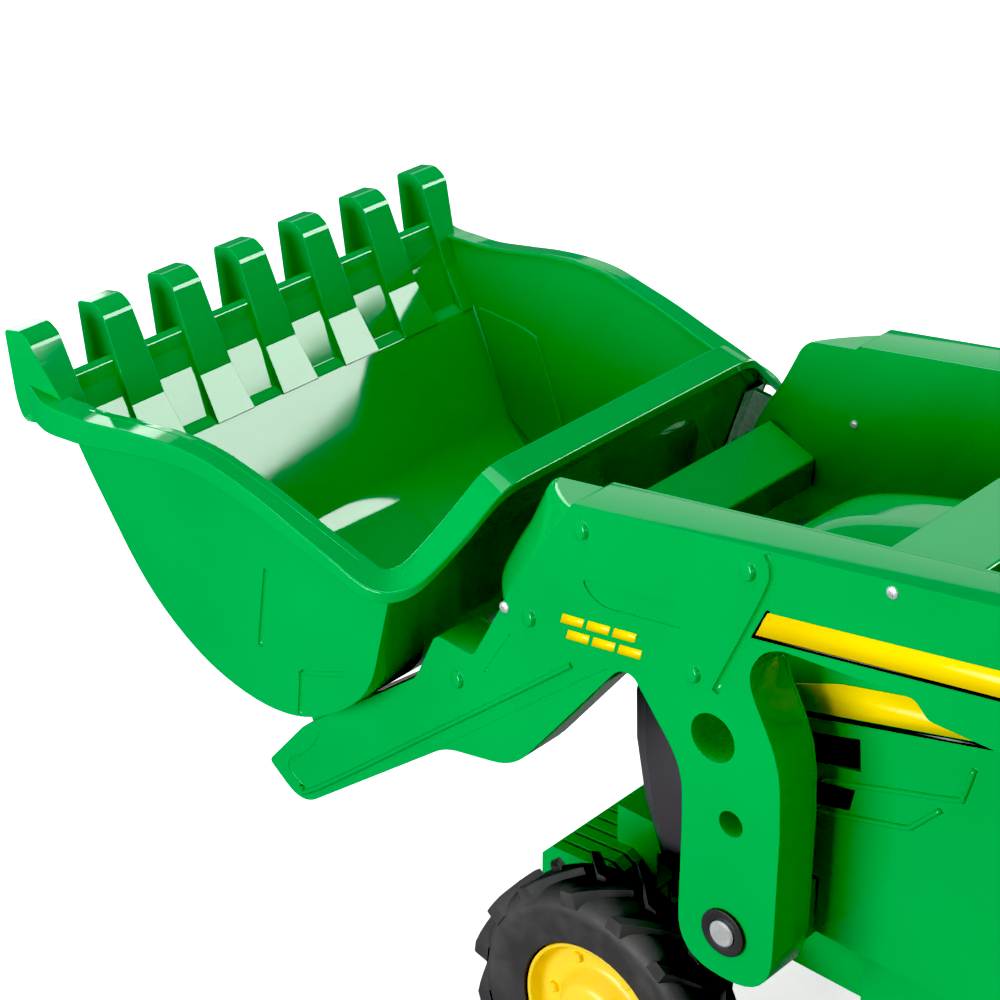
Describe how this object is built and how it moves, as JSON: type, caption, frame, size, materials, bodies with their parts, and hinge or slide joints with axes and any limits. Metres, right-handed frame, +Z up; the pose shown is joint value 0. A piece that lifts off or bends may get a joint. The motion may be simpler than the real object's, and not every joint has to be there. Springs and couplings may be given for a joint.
{
  "type": "ride-on toy front loader",
  "caption": "Child's ride-on toy tractor with a hand-lifted front loader: a side lever tips the toothed bucket at the arms' tips; steered front wheels, seat, pedal and tow eye.",
  "frame": {"origin": "on the ground under the middle of the toy's length and width", "axes": "+Z up, -Y the way the toy faces, +X its left side"},
  "size_m": [0.704, 1.6037, 0.8776],
  "materials": {
    "green_shell": "glossy moulded plastic",
    "yellow_plastic": "satin moulded plastic",
    "black_plastic": "fine matte moulded plastic",
    "grey_grille": "matte dark grey moulded plastic",
    "zinc_steel": "zinc plated steel",
    "black_tyre": "hard moulded tyre plastic"
  },
  "bodies": {
    "tractor": {"chassis_body": "green_shell", "hood_shell": "green_shell", "hood_vent_left": "black_plastic", "hood_vent_right": "black_plastic", "nose_grille": "grey_grille", "front_weight_block": "green_shell", "dashboard_console": "black_plastic", "front_axle_beam": "black_plastic", "rear_axle": "zinc_steel", "gearbox_left": "black_plastic", "gearbox_right": "black_plastic", "battery": "black_plastic", "seat_shell": "yellow_plastic", "loader_pivot_tube": "zinc_steel", "tow_hitch": "black_plastic"},
    "loader": {"arm_left_shell": "green_shell", "arm_left_cover": "green_shell", "arm_right_shell": "green_shell", "arm_right_cover": "green_shell", "front_cross_panel": "green_shell", "rear_cross_plate": "green_shell", "lift_handle_left": "zinc_steel", "lift_handle_right": "zinc_steel", "lift_grip_left": "black_plastic", "lift_grip_right": "black_plastic", "pivot_bush_left": "black_plastic", "pivot_bush_right": "black_plastic", "tilt_lever_bracket": "black_plastic", "bucket_hinge_rod": "zinc_steel"},
    "bucket": {"bucket_shell": "green_shell", "bucket_tilt_bracket": "zinc_steel"},
    "push_rod": {"tilt_push_rod": "zinc_steel"},
    "tilt_handle": {"tilt_lever": "black_plastic", "tilt_lever_grip": "yellow_plastic"},
    "steering": {"steering_shaft": "zinc_steel", "steering_wheel": "black_plastic", "steering_wheel_cap": "yellow_plastic"},
    "left_knuckle": {"knuckle_left": "zinc_steel"},
    "right_knuckle": {"knuckle_right": "zinc_steel"},
    "track_rod": {"tie_rod": "zinc_steel"},
    "front_wheel_left": {"front_tyre_left": "black_tyre", "front_hub_left": "yellow_plastic"},
    "front_wheel_right": {"front_tyre_right": "black_tyre", "front_hub_right": "yellow_plastic"},
    "rear_wheel_left": {"rear_tyre_left": "black_tyre", "rear_hub_left": "yellow_plastic"},
    "rear_wheel_right": {"rear_tyre_right": "black_tyre", "rear_hub_right": "yellow_plastic"},
    "pedal": {"accelerator_pedal": "black_plastic"},
    "shifter": {"gear_lever": "yellow_plastic"}
  },
  "joints": [
    {"name": "loader_lift", "type": "hinge", "parent": "tractor", "child": "loader", "pos_m": [0, 0.022, 0.33], "axis": [-1, 0, 0], "range_deg": [-18, 6]},
    {"name": "bucket_tip", "type": "hinge", "parent": "loader", "child": "bucket", "pos_m": [0, -0.502, 0.263], "axis": [1, 0, 0], "range_deg": [0, 55]},
    {"name": "rod_pin", "type": "hinge", "parent": "bucket", "child": "push_rod", "pos_m": [-0.249, -0.292, 0.528], "axis": [1, 0, 0], "range_deg": [-55, 0]},
    {"name": "tilt_lever_pivot", "type": "hinge", "parent": "loader", "child": "tilt_handle", "pos_m": [-0.236, 0.06, 0.4], "axis": [1, 0, 0], "range_deg": [0, 55]},
    {"name": "left_knuckle_turn", "type": "hinge", "parent": "tractor", "child": "left_knuckle", "pos_m": [0.112, -0.13, 0.14], "axis": [0, 0, 1], "range_deg": [-20, 20]},
    {"name": "right_knuckle_turn", "type": "hinge", "parent": "tractor", "child": "right_knuckle", "pos_m": [-0.112, -0.13, 0.14], "axis": [0, 0, 1], "range_deg": [-20, 20]},
    {"name": "tie_rod_slide", "type": "slide", "parent": "tractor", "child": "track_rod", "axis": [1, 0, 0], "range_m": [-0.0176, 0.0176]},
    {"name": "steering_turn", "type": "hinge", "parent": "tractor", "child": "steering", "pos_m": [0, 0.335, 0.76], "axis": [0, 0.6293, 0.7771], "range_deg": [-60.5, 60.5]},
    {"name": "front_wheel_left_spin", "type": "hinge", "parent": "left_knuckle", "child": "front_wheel_left", "pos_m": [0.177, -0.13, 0.14], "axis": [1, 0, 0], "continuous": true},
    {"name": "front_wheel_right_spin", "type": "hinge", "parent": "right_knuckle", "child": "front_wheel_right", "pos_m": [-0.177, -0.13, 0.14], "axis": [1, 0, 0], "continuous": true},
    {"name": "rear_wheel_left_spin", "type": "hinge", "parent": "tractor", "child": "rear_wheel_left", "pos_m": [0.29, 0.57, 0.19], "axis": [1, 0, 0], "continuous": true},
    {"name": "rear_wheel_right_spin", "type": "hinge", "parent": "tractor", "child": "rear_wheel_right", "pos_m": [-0.29, 0.57, 0.19], "axis": [1, 0, 0], "continuous": true},
    {"name": "pedal_press", "type": "hinge", "parent": "tractor", "child": "pedal", "pos_m": [-0.178, 0.27, 0.191], "axis": [1, 0, 0], "range_deg": [0, 12], "stiffness_Nm_per_rad": 2, "springref_deg": -11.46},
    {"name": "gear_select", "type": "hinge", "parent": "tractor", "child": "shifter", "pos_m": [-0.168, 0.52, 0.38], "axis": [1, 0, 0], "range_deg": [-14, 14]}
  ],
  "couplings": [
    {"joint": "rod_pin", "follows": "bucket_tip", "ratio": -1},
    {"joint": "tilt_lever_pivot", "follows": "bucket_tip", "ratio": 1},
    {"joint": "right_knuckle_turn", "follows": "left_knuckle_turn", "ratio": 1},
    {"joint": "tie_rod_slide", "follows": "left_knuckle_turn", "m_per_rad": -0.05},
    {"joint": "steering_turn", "follows": "left_knuckle_turn", "ratio": 3}
  ]
}
